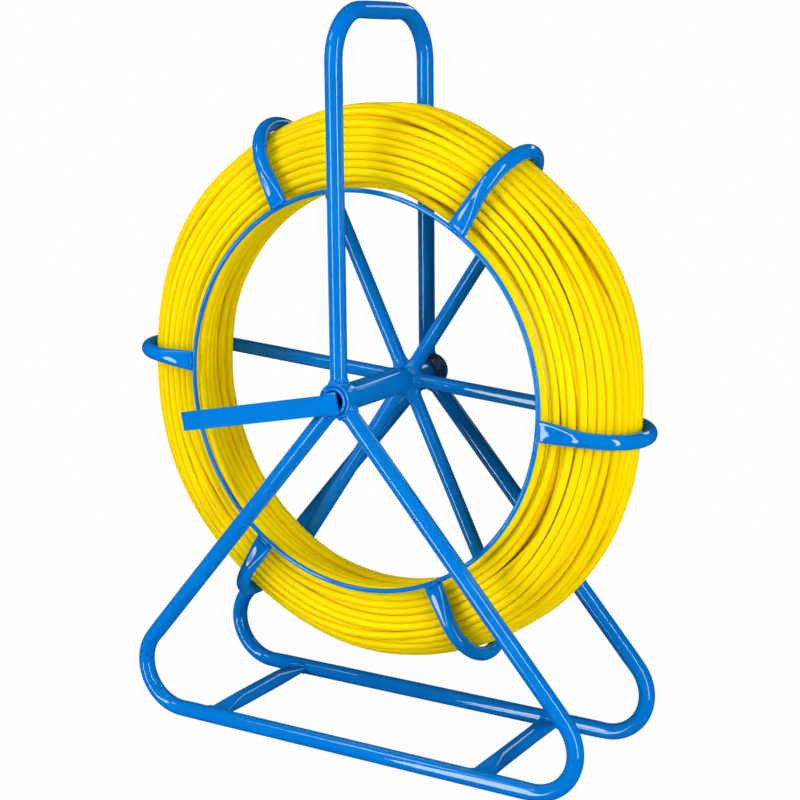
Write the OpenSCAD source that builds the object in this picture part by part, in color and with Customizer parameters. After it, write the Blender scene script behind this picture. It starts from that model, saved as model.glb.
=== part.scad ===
// Free-standing reel of flexible push rod on a bent-tube stand.
// Origin: on the floor, straight below the middle of the axle.
// +Z up, +Y along the axle towards the back, +X to the right seen from the crank side.
// All sizes in millimetres.

/* [Stand] */
// Outside diameter of the bent stand tube
stand_tube_d = 14; // [13:0.5:15]
// Wall of the stand tube
stand_tube_wall = 1.2; // [1:0.1:2]
// Height of the axle centre line above the floor
axle_height = 300; // [290:1:320]
// Distance between the centre planes of the two side frames
frame_spacing = 138; // [136:1:146]
// Lean of each leg away from the vertical, in degrees
leg_angle = 40.8; // [38:0.2:43]
// Centre-line radius of the four bottom bends
foot_bend_r = 37.5; // [32:0.5:45]
// Height of the carry bar's centre line above the floor
handle_height = 601; // [590:1:620]
// Centre-line radius of the two carry handle bends
handle_bend_r = 40; // [30:1:46]

/* [Cross bars] */
// Distance of the left cross bar from the middle of the stand
left_cross_x = 138.5; // [100:0.5:140]
// Distance of the right cross bar from the middle of the stand
right_cross_x = 122.5; // [100:0.5:140]
// Width of the flattened cross bar ends
cross_flat_w = 20; // [17:0.5:21]
// Thickness of the flattened cross bar ends
cross_flat_t = 4.6; // [4:0.1:6]
// Length over which each cross bar end is squashed
cross_taper = 30; // [20:1:36]

/* [Axle] */
// Outside diameter of the hub tube that turns in the collars
hub_od = 22; // [20:0.5:23]
// Wall of the hub tube
hub_wall = 2.2; // [1.5:0.1:3]
// Radial running clearance between hub tube and collars
running_clearance = 0.05; // [0.02:0.01:0.1]
// Outside diameter of the two bearing collars
collar_od = 28; // [27:0.5:30]
// Length of each bearing collar along the axle
collar_len = 15; // [14:0.5:16]
// End float between a collar and the piece that stops it
end_float = 1.5; // [1:0.1:2]

/* [Reel] */
// Outside diameter of the six reel arms
arm_tube_d = 12; // [11:0.5:12.5]
// Wall of the arm tube
arm_tube_wall = 1.2; // [1:0.1:2]
// Radius from the axle to the outermost centre line of an arm
arm_reach = 234.5; // [226:0.5:240]
// Turn of the first arm from the +X direction, in degrees
arm_phase = -4.5; // [-10:0.5:10]
// Axial position of the front of the reel, where the wire ring sits
reel_front_y = -45; // [-47:0.5:-43]
// Axial position of the spokes at the back of the reel
reel_back_y = 35; // [33:0.5:37]
// Radius of the front wire ring's centre line
ring_r = 163; // [158:0.5:166]
// Diameter of the ring wire
ring_wire_d = 4; // [3.5:0.1:5]
// Width of the squashed arm end where it meets the ring
arm_flat_w = 17.6; // [15:0.1:18]
// Thickness of the squashed arm end
arm_flat_t = 4.4; // [4:0.1:5]

/* [Crank] */
// Length of the flat crank bar
crank_len = 157; // [130:1:175]
// Width of the flat crank bar
crank_w = 16; // [13:0.5:16.5]
// How far the middle line of the crank bar passes below the axle centre
crank_drop = 2.3; // [0:0.1:2.5]
// Thickness of the flat crank bar
crank_t = 3; // [2.5:0.1:4]
// How far the crank bar runs past the axle centre
crank_tail = 4.5; // [2:0.5:8]
// Droop of the crank bar below level, in degrees
crank_angle = 11; // [0:1:30]

/* [Rod] */
// Diameter of the flexible rod
rod_d = 6.5; // [6:0.1:6.8]
// Inner radius of the wound coil
coil_r_in = 160; // [156:0.5:162]
// Gap kept between the coil and the arms around it
coil_gap = 0.5; // [0.3:0.1:1]
// Diameter of the metal ferrules on the two rod ends
ferrule_d = 8.5; // [8.3:0.1:9]
// Length of a ferrule
ferrule_len = 40; // [36:1:42]
// Radius of the tapped hole in the end of a ferrule
ferrule_thread_r = 2.5; // [2.3:0.05:2.6]
// Depth of the tapped hole
ferrule_thread_len = 9; // [8:1:11]
// Depth of the plain socket the rod end sits in
ferrule_socket = 9; // [8:1:14]

/* [Hidden] */
$fn = 96;
hairline = 0.02;          // gap left between welded neighbours
slice_t = 0.02;           // thickness of the end slices of a hulled taper
stand_r = stand_tube_d/2;
stand_bore_d = stand_tube_d - 2*stand_tube_wall;
half_spacing = frame_spacing/2;
// where the centre lines of leg and bottom tube would cross
corner_x = (axle_height - stand_r)*tan(leg_angle);
// length the bend takes off each of them
foot_setback = foot_bend_r/tan((90 - leg_angle)/2);
leg_len = (axle_height - stand_r)/cos(leg_angle) - foot_setback;
hub_r = hub_od/2;
collar_r = collar_od/2;
hub_half = half_spacing + collar_len/2 + end_float;
arm_r = arm_tube_d/2;
arm_bore_d = arm_tube_d - 2*arm_tube_wall;
// half-round bow at the outer end of each arm
bow_r = (reel_back_y - reel_front_y)/2;
bow_y = (reel_back_y + reel_front_y)/2;
bow_x = arm_reach - bow_r;
ring_out = ring_r + ring_wire_d/2;
coil_half = bow_r - arm_r - coil_gap;
blue = [0.0, 0.42, 0.85];
yellow = [1.0, 0.86, 0.0];
brass = [0.80, 0.62, 0.30];

// ---------- helpers ----------
// cylinder lying along +X from the origin
module along_x(length, dia) { rotate([0, 90, 0]) cylinder(h = length, d = dia); }
// cylinder along Y, centred on the origin
module along_y(length, radius) {
    rotate([90, 0, 0]) cylinder(h = length, r = radius, center = true);
}
// cylinder on the axle, centred at axial position y
module on_axle(y, length, radius) { translate([0, y, axle_height]) along_y(length, radius); }
// bend of a round bar in the local XY plane
module bend(radius, start, sweep, dia) {
    rotate([0, 0, start]) rotate_extrude(angle = sweep) translate([radius, 0]) circle(d = dia);
}
// short sleeve that ties a straight length to the bend it runs into
module tie(dia) { translate([-0.2, 0, 0]) along_x(0.4, dia + 0.004); }
// slot-shaped profile, width along X and thickness along Y
module stadium(width, thick) {
    square([width - thick, thick], center = true);
    for (s = [-1, 1]) translate([s*(width - thick)/2, 0]) circle(d = thick);
}
// thin slices hulled together where a round tube is squashed flat
module round_slice(dia) { linear_extrude(slice_t, center = true) circle(d = dia, $fn = 48); }
module flat_slice(width, thick) {
    linear_extrude(slice_t, center = true) stadium(width, thick, $fn = 32);
}
// children and their mirror image across the plane normal to axis
module both_sides(axis) { for (s = [0, 1]) mirror(s*axis) children(); }

// ---------- stand ----------
// room for a bearing collar
module collar_cut(y) { on_axle(y, collar_len + 20, collar_r + hairline); }
// room for the bottom tubes of both side frames
module bottom_tube_cut(mid_x, length) {
    for (y = [-half_spacing, half_spacing]) translate([mid_x - length/2, y, stand_r])
        along_x(length, stand_tube_d + 2*hairline);
}

// centre-line sweep of one side frame, drawn in local XY (X across, Y up)
module frame_path(dia) {
    bend_x = corner_x - foot_setback;
    translate([-bend_x, stand_r]) along_x(2*bend_x, dia);
    both_sides([1, 0, 0]) translate([bend_x, stand_r + foot_bend_r]) {
        bend(foot_bend_r, -90, 90 + leg_angle, dia);
        translate([0, -foot_bend_r]) tie(dia);
        rotate([0, 0, leg_angle]) translate([foot_bend_r, 0]) rotate([0, 0, 90]) {
            along_x(leg_len, dia);
            tie(dia);
        }
    }
}
module side_frame(y) {
    difference() {
        translate([0, y, 0]) rotate([90, 0, 0]) frame_path(stand_tube_d);
        translate([0, y, 0]) rotate([90, 0, 0]) frame_path(stand_bore_d);
        collar_cut(y);
    }
}
module front_side_frame() color(blue) side_frame(-half_spacing);
module rear_side_frame() color(blue) side_frame(half_spacing);

// inverted U in local XY (X along the axle, Y up)
module handle_path(dia) {
    bend_x = half_spacing - handle_bend_r;
    bend_z = handle_height - handle_bend_r;
    translate([-bend_x, handle_height]) along_x(2*bend_x, dia);
    both_sides([1, 0, 0]) {
        translate([bend_x, bend_z]) bend(handle_bend_r, 0, 90, dia);
        translate([half_spacing, axle_height]) rotate([0, 0, 90])
            along_x(bend_z - axle_height, dia);
    }
}
module carry_handle() color(blue) difference() {
    rotate([90, 0, 90]) handle_path(stand_tube_d);
    rotate([90, 0, 90]) handle_path(stand_bore_d);
    for (y = [-half_spacing, half_spacing]) collar_cut(y);
}

module collar(y) {
    difference() {
        on_axle(y, collar_len, collar_r);
        on_axle(y, collar_len + 2, hub_r + running_clearance);
    }
}
module front_bearing_collar() color(blue) collar(-half_spacing);
module rear_bearing_collar() color(blue) collar(half_spacing);

cross_straight = half_spacing - stand_r - cross_taper - 3;  // half length of the round part
cross_flat_len = 8;       // flat end, before it is cut to fit the bottom tube
cross_overlap = 0.5;      // taper runs this far into its neighbours
cross_slit_t = 0.8;       // slit left inside the squashed ends

// round tube squashed at both ends, lying along Y at mid-height of the bottom tubes
module cross_bar(x) {
    taper_end = cross_straight + cross_taper;
    difference() {
        translate([x, 0, stand_r]) {
            along_y(2*cross_straight, stand_r);
            both_sides([0, 1, 0]) {
                hull() {
                    translate([0, cross_straight - cross_overlap, 0]) rotate([90, 0, 0])
                        round_slice(stand_tube_d - 0.4);
                    translate([0, taper_end + cross_overlap, 0]) rotate([90, 0, 0])
                        flat_slice(cross_flat_w - 0.6, cross_flat_t - 0.6);
                }
                translate([0, taper_end, 0]) rotate([-90, 0, 0])
                    linear_extrude(cross_flat_len) stadium(cross_flat_w, cross_flat_t);
            }
        }
        translate([x, 0, stand_r]) {
            along_y(2*cross_straight, stand_bore_d/2);
            cube([cross_flat_w - 9, 2*half_spacing, cross_slit_t], center = true);
        }
        bottom_tube_cut(x, 60);
    }
}
module left_cross_bar() color(blue) cross_bar(-left_cross_x);
module right_cross_bar() color(blue) cross_bar(right_cross_x);

weld_cone_h = 6.4;        // height of the conical beads on collars and spoke roots

// beads where the carry handle and the two legs land on a collar
module collar_welds(y) {
    tube_turns = [0, 180 - leg_angle, 180 + leg_angle];  // turn of each tube from straight up
    difference() {
        translate([0, y, axle_height]) for (turn = tube_turns) rotate([0, turn, 0])
            intersection() {
                translate([0, 0, collar_r - 4])
                    cylinder(h = weld_cone_h, r1 = stand_r + 3.4, r2 = stand_r + 0.5);
                cube([60, collar_len, 60], center = true);
            }
        collar_cut(y);
        translate([0, y, axle_height]) for (turn = tube_turns) rotate([0, turn, 0])
            cylinder(h = 40, r = stand_r + hairline);
    }
}
module front_collar_welds() color(blue) collar_welds(-half_spacing);
module rear_collar_welds() color(blue) collar_welds(half_spacing);

cross_bead_d = 3.6;
cross_bead_inset = 1.5;   // bead stops this far short of each edge of the flat end
cross_bead_offset = 0.6;  // bead centre from the flat end's face and from the tube's side

// upper and lower fillet beads at the four squashed cross bar ends
module cross_bar_welds() color(blue) difference() {
    for (x = [-left_cross_x, right_cross_x], side = [-1, 1], up = [-1, 1])
        translate([x - cross_flat_w/2 + cross_bead_inset,
                   side*(half_spacing - stand_r - cross_bead_offset),
                   stand_r + up*(cross_flat_t/2 + cross_bead_offset)])
            along_x(cross_flat_w - 2*cross_bead_inset, cross_bead_d);
    for (x = [-left_cross_x, right_cross_x]) translate([x, 0, stand_r])
        cube([cross_flat_w + 8, 2*half_spacing, cross_flat_t + 2*hairline], center = true);
    bottom_tube_cut(0, 400);
}

// ---------- reel ----------
module hub_tube() color(blue) difference() {
    on_axle(0, 2*hub_half, hub_r);
    on_axle(0, 2*hub_half + 2, hub_r - hub_wall);
}

root_depth = 3;           // spokes and their beads start this far inside the hub surface

// arms are numbered anticlockwise seen from the front
function arm_angle(i) = arm_phase + 60*(i - 1);
// places children on arm number i: local X radial, Y axial, origin on the axle
module on_arm(i) { translate([0, 0, axle_height]) rotate([0, -arm_angle(i), 0]) children(); }
module on_each_arm() { for (i = [1:6]) on_arm(i) children(); }

// spoke and bow of one arm, starting at radius from_x
module arm_path(from_x, dia) {
    translate([from_x, reel_back_y]) along_x(bow_x - from_x, dia);
    translate([bow_x, bow_y]) bend(bow_r, -90, 180, dia);
}
module arm(i) {
    difference() {
        on_arm(i) {
            arm_path(hub_r - root_depth, arm_tube_d);
            hull() {
                translate([bow_x + 0.3, reel_front_y]) rotate([0, 90, 0])
                    round_slice(arm_tube_d - 0.3);
                translate([ring_out + 3.5, reel_front_y]) rotate([0, 90, 0])
                    flat_slice(arm_flat_w - 0.5, arm_flat_t - 0.5);
            }
            translate([ring_out - 2, reel_front_y]) rotate([0, 90, 0])
                linear_extrude(6) stadium(arm_flat_w, arm_flat_t);
        }
        on_arm(i) arm_path(0, arm_bore_d);
        on_axle(reel_back_y, 30, hub_r + hairline);
        on_axle(reel_front_y, 12, ring_out + hairline);
        // neighbouring arms meet in a mitre at the hub tube
        for (s = [-1, 1]) on_arm(i) rotate([0, -30*s, 0])
            translate([0, reel_back_y - 15, s > 0 ? -hairline : hairline - 20])
                cube([30, 30, 20]);
    }
}
module spoke_arm_1() color(blue) arm(1);
module spoke_arm_2() color(blue) arm(2);
module spoke_arm_3() color(blue) arm(3);
module spoke_arm_4() color(blue) arm(4);
module spoke_arm_5() color(blue) arm(5);
module spoke_arm_6() color(blue) arm(6);

module wire_ring(dia) {
    translate([0, reel_front_y, axle_height]) rotate([90, 0, 0])
        rotate_extrude($fn = 180) translate([ring_r, 0]) circle(d = dia, $fn = 32);
}
module front_retaining_ring() color(blue) wire_ring(ring_wire_d);

// fillet around the foot of every spoke
module spoke_root_welds() color(blue) difference() {
    on_each_arm() translate([hub_r - root_depth, reel_back_y]) rotate([0, 90, 0])
        cylinder(h = weld_cone_h, r1 = arm_r + 3, r2 = arm_r + 0.4);
    on_each_arm() translate([0, reel_back_y]) along_x(40, arm_tube_d + 2*hairline);
    on_axle(reel_back_y, 40, hub_r + hairline);
}

ring_bead_d = 3.2;
ring_bead_sweep = 5.2;    // degrees around the axle

// front and back beads between the ring wire and every squashed arm end
module ring_welds() color(blue) difference() {
    for (i = [1:6], s = [-1, 1])
        translate([0, reel_front_y + s*(arm_flat_t/2 + 0.3), axle_height])
            rotate([90, -arm_angle(i), 0]) rotate([0, 0, -ring_bead_sweep/2])
                rotate_extrude(angle = ring_bead_sweep, $fn = 180)
                    translate([ring_out + 0.2, 0]) circle(d = ring_bead_d, $fn = 24);
    on_each_arm() translate([ring_out + 3, reel_front_y])
        cube([16, arm_flat_t + 2*hairline, arm_flat_w + 4], center = true);
    wire_ring(ring_wire_d + 2*hairline);
}

// ---------- crank ----------
crank_weld_t = 1.8;       // how far the beads stand off the hub tube's end face
crank_edge = crank_drop - crank_w/2;   // upper edge of the bar in its local frame

// local frame of the crank: origin on the axle at the front face of the hub tube,
// X along the bar, Z downwards across it
module on_crank() {
    translate([0, -hub_half, axle_height]) rotate([0, 180 - crank_angle, 0]) children();
}
module crank_bar() color(blue) on_crank()
    translate([-crank_tail, -crank_t - hairline, crank_edge])
        cube([crank_len, crank_t, crank_w]);
// beads along both edges and the end of the bar, on the rim of the hub tube
module crank_welds() color(blue) difference() {
    on_axle(-hub_half - crank_weld_t/2 - hairline, crank_weld_t, hub_r);
    on_axle(-hub_half, 8, hub_r - hub_wall);
    on_crank() translate([-crank_tail - hairline, -10, crank_edge - hairline])
        cube([60, 20, crank_w + 2*hairline]);
    // the end bead reaches 1 mm past the bar
    on_crank() translate([-30 - crank_tail - 1, -10, -30]) cube([30, 20, 60]);
}
// disc welded on the back end of the hub tube
module rear_stop_disc() color(blue) on_axle(hub_half + hairline + crank_t/2, crank_t, collar_r);

// ---------- rod ----------
// lead end: behind the coil, tangent to it and turned a little towards the back
lead_y = bow_y + coil_half + ferrule_d/2 + 0.3;
lead_r = 205;             // distance from the axle
lead_at = 75;             // degrees round from +X
lead_splay = 9;           // degrees towards the back
// tail end: inside the coil
tail_y = 8;
tail_r = coil_r_in - ferrule_d/2 - 2;
tail_at = 50;             // degrees round from +X
lead_stub = 64;           // straight rod behind each ferrule
tail_stub = 44;
ferrule_relief = 0.6;     // ferrule body is this much thinner than its two bands

// frames of the free rod ends: local X along the rod, from the coil towards the ferrule
module on_lead() {
    translate([0, lead_y, axle_height]) rotate([0, -lead_at, 0]) translate([lead_r, 0, 0])
        rotate([0, -90, 0]) rotate([0, 0, lead_splay]) children();
}
module on_tail() {
    translate([0, tail_y, axle_height]) rotate([0, -tail_at, 0])
        translate([tail_r, 0, ferrule_len/2]) rotate([0, 90, 0]) children();
}
// straight rod that ends 1 mm short of the bottom of the ferrule socket
module rod_stub(length) {
    translate([-length, 0]) along_x(length + ferrule_socket - 1, rod_d);
}
// wound rod as one body with the envelope of the winding and its two straight free ends
module rod_coil() color(yellow) {
    translate([0, bow_y, axle_height]) rotate([90, 0, 0]) rotate_extrude($fn = 180) {
        translate([coil_r_in, -coil_half]) square([bow_x - coil_r_in, 2*coil_half]);
        intersection() {
            translate([bow_x, 0]) circle(r = coil_half);
            translate([bow_x, -coil_half]) square([coil_half, 2*coil_half]);
        }
    }
    on_lead() rod_stub(lead_stub);
    on_tail() rod_stub(tail_stub);
}
// turned sleeve crimped on a rod end, tapped at its free end
module ferrule() difference() {
    union() {
        along_x(ferrule_len, ferrule_d - ferrule_relief);
        translate([1, 0]) along_x(5, ferrule_d);
        translate([ferrule_len - 9, 0]) along_x(8, ferrule_d);
    }
    translate([-1, 0]) along_x(ferrule_socket + 1, rod_d + 2*hairline);
    translate([ferrule_len - ferrule_thread_len, 0])
        along_x(ferrule_thread_len + 1, 2*ferrule_thread_r);
}
module lead_end_ferrule() color(brass) on_lead() ferrule();
module tail_end_ferrule() color(brass) on_tail() ferrule();

// ---------- assembly ----------
front_side_frame();
rear_side_frame();
carry_handle();
front_bearing_collar();
rear_bearing_collar();
left_cross_bar();
right_cross_bar();
front_collar_welds();
rear_collar_welds();
cross_bar_welds();
hub_tube();
spoke_arm_1();
spoke_arm_2();
spoke_arm_3();
spoke_arm_4();
spoke_arm_5();
spoke_arm_6();
front_retaining_ring();
spoke_root_welds();
ring_welds();
crank_bar();
crank_welds();
rear_stop_disc();
rod_coil();
lead_end_ferrule();
tail_end_ferrule();
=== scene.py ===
"""Hand-cranked reel of yellow rod on a blue tubular stand.

The axle lies along Y at height AXLE_Z and the stand rests on z = 0. The crank is on the front
side (-Y), x runs from left (-) to right (+). Shapes are worked out in millimetres and turned
into metres when the meshes are made.
"""
import math

import bmesh
import bpy
import numpy as np
from mathutils import Matrix, Vector


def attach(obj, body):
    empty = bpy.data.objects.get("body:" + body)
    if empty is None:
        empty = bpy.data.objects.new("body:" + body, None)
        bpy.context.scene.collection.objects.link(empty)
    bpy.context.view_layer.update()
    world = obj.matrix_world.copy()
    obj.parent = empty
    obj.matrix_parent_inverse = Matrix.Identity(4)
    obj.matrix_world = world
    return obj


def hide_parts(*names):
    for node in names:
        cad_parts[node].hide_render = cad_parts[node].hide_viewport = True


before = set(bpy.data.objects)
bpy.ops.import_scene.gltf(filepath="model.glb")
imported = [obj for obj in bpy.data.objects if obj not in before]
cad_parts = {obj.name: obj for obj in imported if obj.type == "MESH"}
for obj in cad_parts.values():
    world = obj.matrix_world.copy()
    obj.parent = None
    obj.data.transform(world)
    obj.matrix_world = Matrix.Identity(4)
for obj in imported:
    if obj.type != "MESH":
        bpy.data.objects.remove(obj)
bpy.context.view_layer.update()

# ------------------------------------------------------------------ sizes, mm
MM = 0.001                                  # metres in a millimetre
TAU = 2 * math.pi
GAP = 0.02                                  # clearance between touching pieces

# stand
AXLE_Z = 300.0
TUBE_R = 7.0
FRAME_Y = 69.0                              # side frames stand at y = -FRAME_Y and +FRAME_Y
LEG_ANGLE = math.radians(40.8)              # legs from the vertical
FOOT_R = 37.5                               # bend at the foot of a leg
CORNER_X = (AXLE_Z - TUBE_R) * math.tan(LEG_ANGLE)
FOOT_TANGENT = FOOT_R / math.tan((math.pi / 2 - LEG_ANGLE) / 2)
LEG_LENGTH = (AXLE_Z - TUBE_R) / math.cos(LEG_ANGLE) - FOOT_TANGENT
HANDLE_Z, HANDLE_R = 601.0, 40.0            # handle top and its bends
COLLAR_R, COLLAR_LENGTH = 14.0, 15.0
CROSS_BAR_X = (-138.5, 122.5)
CROSS_BAR_END = 62.3
CROSS_BAR_ROUND = 29.0                      # half length of the part that stays round
CROSS_BAR_TAPER = 30.0
SQUASHED_R = 2.2                            # edge radius of a fully squashed tube

# reel frame
HUB_R, HUB_WALL, HUB_HALF = 11.0, 2.2, 78.0
ARM_R = 6.0
ARM_COUNT = 6
ARM_PHASE = -4.5                            # degrees, angle of the first arm
BOW_X, BOW_Y, BOW_R = 194.5, -5.0, 40.0     # half-circle bend of an arm: centre and radius
SPOKE_Y, FRONT_Y = BOW_Y + BOW_R, BOW_Y - BOW_R
ARM_TIP_X = 167.8                           # start of the last short stretch at the ring
ARM_SQUASH = (205.0, 168.5)                 # along the front leg: squash starts, is complete
RING_R, WIRE_R = 163.0, 2.0
WELD_RIM_R = HUB_R - 0.9

# crank: flat bar pointing left and a little down
CRANK_ANGLE = math.radians(11.0)
CRANK_START, CRANK_END = -4.5, 152.5
CRANK_WIDTH, CRANK_THICKNESS, CRANK_DROP = 16.0, 3.0, 2.3

# rod
ROD_R = 3.25
ROD_D = 2 * ROD_R
SAMPLES = 180                               # points in one turn
PACK_HALF = 33.5                            # half width of the channel the rod lies in
PACK_TURNS = 86
FIRST_LAYER_R = 166.5
FIRST_LAYER_Y = [15.0, 3.0, -8.5, -19.5, -30.0]
ROD_START_R = 167.0

# ferrules
FERRULE_LENGTH, FERRULE_BODY_R, FERRULE_BAND_R = 40.0, 3.95, 4.25
THREAD_DEPTH, SOCKET_DEPTH = 9.0, 9.0
SOCKET_R, THREAD_R, THREAD_ROOT_R = 3.27, 2.2, 2.5
LEAD_ANGLE, LEAD_R, LEAD_TILT = 75, 205, math.radians(9.0)
LEAD_Y = BOW_Y + PACK_HALF + FERRULE_BAND_R + 0.3
TAIL_ANGLE, TAIL_R, TAIL_Y = 50, 153.75, 8.0

X_AXIS, Y_AXIS, Z_AXIS = np.eye(3)


def axle_point(y):
    return np.array([0.0, y, AXLE_Z])


def polar_axes(degrees):
    """Radial and tangential directions about the axle."""
    a = math.radians(degrees)
    return np.array([math.cos(a), 0, math.sin(a)]), np.array([-math.sin(a), 0, math.cos(a)])


ARM_AXES = [polar_axes(ARM_PHASE + 360 / ARM_COUNT * i) for i in range(ARM_COUNT)]


# ------------------------------------------------------------------ mesh tools
def face_outward(points, quads, tris):
    """Face arrays of a closed shape, reversed if they enclose a negative volume."""
    triangles = np.concatenate([tris, quads[:, [0, 1, 2]], quads[:, [0, 2, 3]]])
    a, b, c = (points[triangles[:, i]] for i in range(3))
    if np.einsum("ij,ij->i", a, np.cross(b, c)).sum() < 0:
        return quads[:, ::-1], tris[:, ::-1]
    return quads, tris


def as_triangles(tris):
    return np.asarray(tris, int).reshape(-1, 3)


def add_mesh(name, points, quads, tris=(), sharp=38.0):
    """Smooth-shaded object from points in mm. sharp: angle of edges kept crisp, None for none."""
    points = points * MM
    quads, tris = face_outward(points, quads, as_triangles(tris))
    mesh = bpy.data.meshes.new(name)
    mesh.vertices.add(len(points))
    mesh.vertices.foreach_set("co", points.astype(np.float32).ravel())
    loops = np.concatenate([quads.ravel(), tris.ravel()]).astype(np.int32)
    sizes = np.concatenate([np.full(len(quads), 4), np.full(len(tris), 3)]).astype(np.int32)
    mesh.loops.add(len(loops))
    mesh.loops.foreach_set("vertex_index", loops)
    mesh.polygons.add(len(sizes))
    mesh.polygons.foreach_set("loop_start", (np.cumsum(sizes) - sizes).astype(np.int32))
    mesh.polygons.foreach_set("loop_total", sizes)
    mesh.update(calc_edges=True)
    mesh.validate()
    mesh.polygons.foreach_set("use_smooth", np.ones(len(mesh.polygons), bool))
    if sharp:
        mesh.set_sharp_from_angle(angle=math.radians(sharp))
    ob = bpy.data.objects.new(name, mesh)
    # the setting only exists while the Cycles add-on is loaded
    if hasattr(ob, "cycles"):
        ob.cycles.shadow_terminator_geometry_offset = 0.35
    bpy.context.scene.collection.objects.link(ob)
    return ob


class Shells:
    """Gathers several closed shells into one smooth piece."""

    def __init__(self):
        self.points, self.quads, self.tris = [], [], []
        self.count = 0

    def add(self, points, quads, tris=()):
        quads, tris = face_outward(points - points.mean(0), quads, as_triangles(tris))
        self.points.append(points)
        self.quads.append(quads + self.count)
        self.tris.append(tris + self.count)
        self.count += len(points)

    def build(self, name):
        arrays = (np.concatenate(part) for part in (self.points, self.quads, self.tris))
        return add_mesh(name, *arrays, sharp=None)


def grid_faces(rows, columns, closed=False):
    """Quads between rows of points. Columns wrap round, rows only if closed."""
    i, j = np.meshgrid(np.arange(rows if closed else rows - 1), np.arange(columns), indexing="ij")
    i_next, j_next = (i + 1) % rows, (j + 1) % columns
    corners = [i * columns + j, i * columns + j_next,
               i_next * columns + j_next, i_next * columns + j]
    return np.stack(corners, -1).reshape(-1, 4)


def fan(ring, centre):
    return np.stack([ring, np.roll(ring, -1), np.full(len(ring), centre)], -1)


def capped_faces(rows, columns):
    """Quads of an open grid, and fans to two centre points that follow its last row."""
    count = rows * columns
    tris = np.concatenate([fan(np.arange(columns)[::-1], count),
                           fan(np.arange(count - columns, count), count + 1)])
    return grid_faces(rows, columns), tris


def sweep(centres, first, second, sections, closed=False):
    """Skin over sections (rows, columns, 2). Section axes: one for all rows or one per row."""
    rows, columns = sections.shape[:2]
    first, second = np.reshape(first, (-1, 1, 3)), np.reshape(second, (-1, 1, 3))
    points = centres[:, None, :] + sections[..., 0:1] * first + sections[..., 1:2] * second
    points = points.reshape(-1, 3)
    if closed:
        return points, grid_faces(rows, columns, closed=True), ()
    return np.concatenate([points, centres[:1], centres[-1:]]), *capped_faces(rows, columns)


def end_rings(points, columns):
    """Point numbers of the start and stop rings of an open sweep, with their cap centres."""
    last = len(points) - 2
    return [*range(columns), last], [*range(last - columns, last), last + 1]


def planar_tube(path, origin, first, second, normal, sections):
    """Tube along a path in the plane of first and second."""
    tangents = np.gradient(path, axis=0)
    tangents /= np.linalg.norm(tangents, axis=1)[:, None]
    directions = tangents[:, 0:1] * first + tangents[:, 1:2] * second
    centres = origin + path[:, 0:1] * first + path[:, 1:2] * second
    return sweep(centres, np.cross(normal, directions), normal, sections)


def circle(columns, radius, rows=1):
    a = TAU * np.arange(columns) / columns
    section = np.stack([np.cos(a) * radius, np.sin(a) * radius], -1)
    return np.repeat(section[None], rows, 0)


def squashed_circle(count, radius, squash, stretch, dip):
    """Section of a round tube squashed by a share (0 round, 1 flat), wide along axis 2.

    stretch scales the flats, dip hollows them. Starts at the middle of the +axis-1 flat.
    """
    edge = radius * (1 - squash) + SQUASHED_R * squash
    flat = math.pi * (radius - edge) * stretch
    half = flat + math.pi * edge
    perimeter = 2 * flat + TAU * edge
    points = np.zeros((count, 2))
    for i in range(count):
        run = (i / count * perimeter + flat / 2) % perimeter
        side = 1
        if run >= half:                     # the second half is the first one turned round
            side = -1
            run -= half
        if run < flat:
            q = (run - flat / 2) / (flat / 2 + 1e-9)
            points[i] = (edge - dip * (1 - q * q) ** 2, run - flat / 2)
        else:
            a = (run - flat) / edge
            points[i] = (edge * math.cos(a), flat / 2 + edge * math.sin(a))
        points[i] *= side
    return points


def ease(t):
    return t * t * (3 - 2 * t)


def arc(centre_x, centre_y, radius, start, stop):
    """Points about 3 degrees apart on an arc given in degrees."""
    n = max(2, int(abs(stop - start) / 3.0) + 1)
    a = np.radians(np.linspace(start, stop, n + 1))
    return np.stack([centre_x + radius * np.cos(a), centre_y + radius * np.sin(a)], -1)


def line(start, stop, step):
    start, stop = np.array(start, float), np.array(stop, float)
    n = max(1, int(np.linalg.norm(stop - start) / step))
    return start + (stop - start) * np.linspace(0, 1, n + 1)[:, None]


def smooth_noise(count, spacing, amplitude, rng, wrap=False):
    """Random values about spacing samples apart, eased into each other."""
    knots = max(4, int(count / spacing) + (0 if wrap else 3))
    values = rng.normal(0, amplitude, knots)
    x = np.arange(count) / count * knots if wrap else np.arange(count) / spacing
    i = np.floor(x).astype(int)
    f = ease(x - i)
    return values[i % knots] * (1 - f) + values[(i + 1) % knots] * f


def revolve(profile):
    """Ring-shaped solid about the axle from a closed profile of (radius, y)."""
    columns = 128
    a = (TAU * np.arange(columns) / columns)[:, None]
    radius, y = profile[None, :, 0], profile[:, 1]
    points = np.stack([radius * np.cos(a), np.repeat(y[None], columns, 0),
                       AXLE_Z + radius * np.sin(a)], -1)
    return points.reshape(-1, 3), grid_faces(columns, len(profile), closed=True)


def rounded(corners, radius, steps):
    """Rounds the corners of a closed profile."""
    corners = np.asarray(corners, float)
    points = []
    for i, corner in enumerate(corners):
        before = corners[i - 1] - corner
        after = corners[(i + 1) % len(corners)] - corner
        length_before, length_after = np.linalg.norm(before), np.linalg.norm(after)
        cut = min(radius, 0.45 * length_before, 0.45 * length_after)
        entry = corner + before / length_before * cut
        leave = corner + after / length_after * cut
        for t in np.linspace(0, 1, steps + 1):
            points.append((1 - t) ** 2 * entry + 2 * t * (1 - t) * corner + t * t * leave)
    return np.array(points)


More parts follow.
